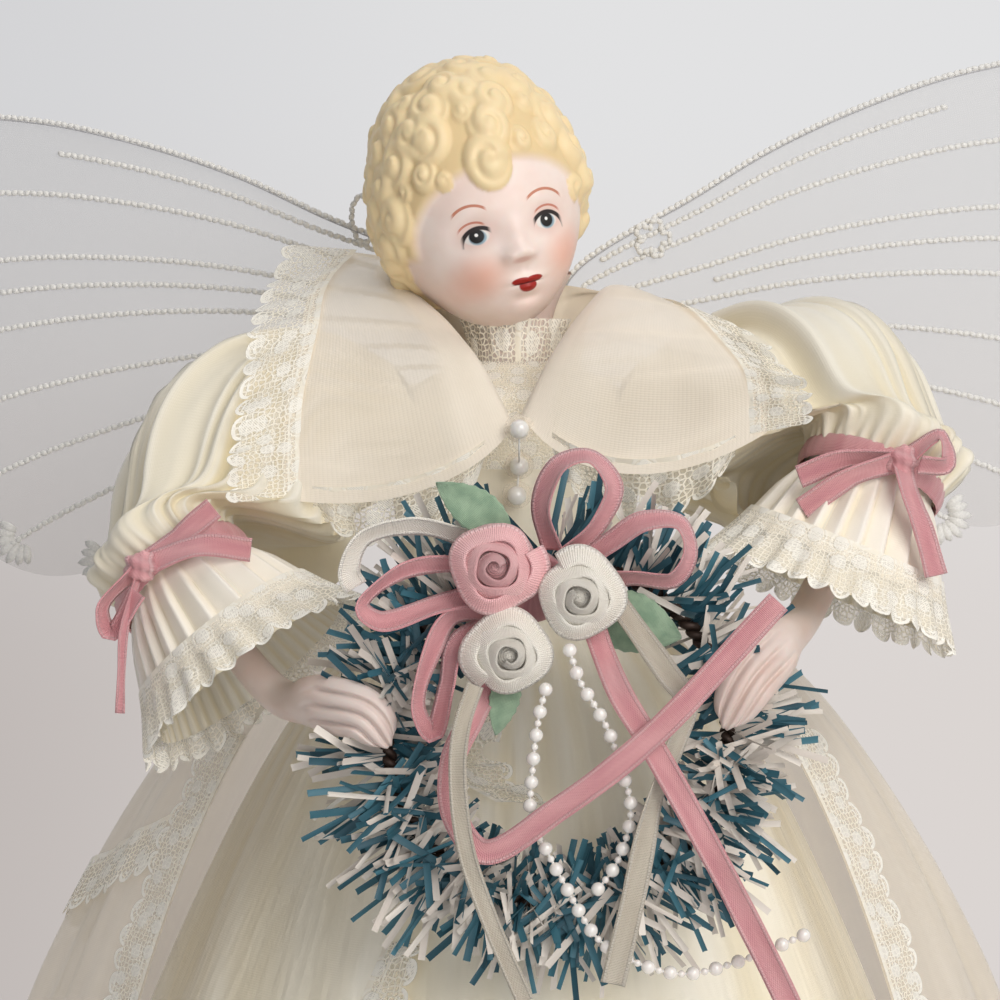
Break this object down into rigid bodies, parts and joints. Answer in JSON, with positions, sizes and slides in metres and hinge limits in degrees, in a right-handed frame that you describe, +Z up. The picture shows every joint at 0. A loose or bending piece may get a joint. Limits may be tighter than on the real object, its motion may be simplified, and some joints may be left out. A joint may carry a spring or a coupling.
{
  "type": "angel tree topper",
  "caption": "Doll angel for the top of a tree, with a bisque head, a layered satin and organza dress on a card cone, folding embroidered wings and a tinsel wreath in its hands.",
  "frame": {"origin": "on the surface that the hem and the cone stand on, under the middle of the whole part", "axes": "+Z up along the cone, the face and the wreath look along -Y, +X is the viewer's right"},
  "size_m": [0.2846, 0.2259, 0.3046],
  "materials": {
    "card": "matt",
    "form": "matt foam",
    "satin": "satin",
    "organza": "sheer",
    "lace": "openwork",
    "bisque": "satin bisque",
    "pearl": "pearl",
    "pink_ribbon": "satin",
    "white_ribbon": "satin",
    "leaf": "satin",
    "tinsel": "gloss film",
    "wire": "drawn",
    "wing": "sheer"
  },
  "bodies": {
    "body": {"base_cone": "card", "torso_form": "form", "arm_wire": "wire", "bodice": "satin", "neck_lace": "lace", "underskirt_gore_1": "satin", "underskirt_gore_2": "satin", "underskirt_gore_3": "satin", "underskirt_gore_4": "satin", "underskirt_gore_5": "satin", "underskirt_gore_6": "satin", "overskirt_panel_1": "organza", "overskirt_panel_2": "organza", "overskirt_panel_3": "organza", "overskirt_panel_4": "organza", "overskirt_lace_left": "lace", "overskirt_lace_right": "lace", "collar_left": "organza", "collar_right": "organza", "collar_lace_left": "lace", "collar_lace_right": "lace", "pearl_buttons": "pearl", "sleeve_left": "satin", "sleeve_right": "satin", "cuff_left": "satin", "cuff_right": "satin", "cuff_lace_left": "lace", "cuff_lace_right": "lace", "sleeve_bow_left": "pink_ribbon", "sleeve_bow_right": "pink_ribbon", "wing_plate": "satin"},
    "head": {"bisque_head": "bisque"},
    "forearms": {"hand_left": "bisque", "hand_right": "bisque", "wreath_top_left": "tinsel", "wreath_top_right": "tinsel", "wreath_bottom_left": "tinsel", "wreath_bottom_right": "tinsel", "pink_bow": "pink_ribbon", "white_loop": "white_ribbon", "rose_pink": "pink_ribbon", "rose_white_right": "white_ribbon", "rose_white_left": "white_ribbon", "leaf_top": "leaf", "leaf_right": "leaf", "leaf_bottom": "leaf", "tail_pink_cross": "pink_ribbon", "tail_pink_long": "pink_ribbon", "tail_white_left": "white_ribbon", "tail_white_right": "white_ribbon", "pearl_strand_long": "pearl", "pearl_strand_short": "pearl"},
    "left_wing": {"wing_sheet_left": "wing", "wing_wire_left": "wire"},
    "right_wing": {"wing_sheet_right": "wing", "wing_wire_right": "wire"}
  },
  "joints": [
    {"name": "head_turn", "type": "hinge", "parent": "body", "child": "head", "pos_m": [0, 0, 0.2473], "axis": [0, 0, 1], "range_deg": [-25, 25]},
    {"name": "arms_lift", "type": "hinge", "parent": "body", "child": "forearms", "pos_m": [-0.0585, -0.0385, 0.2128], "axis": [-0.9888, -0.0448, -0.1424], "range_deg": [0, 10]},
    {"name": "left_wing_fold", "type": "hinge", "parent": "body", "child": "left_wing", "pos_m": [-0.007, 0.0247, 0.2483], "axis": [0, 0, -1], "range_deg": [0, 60]},
    {"name": "right_wing_fold", "type": "hinge", "parent": "body", "child": "right_wing", "pos_m": [0.007, 0.0247, 0.2483], "axis": [0, 0, 1], "range_deg": [0, 60]}
  ]
}
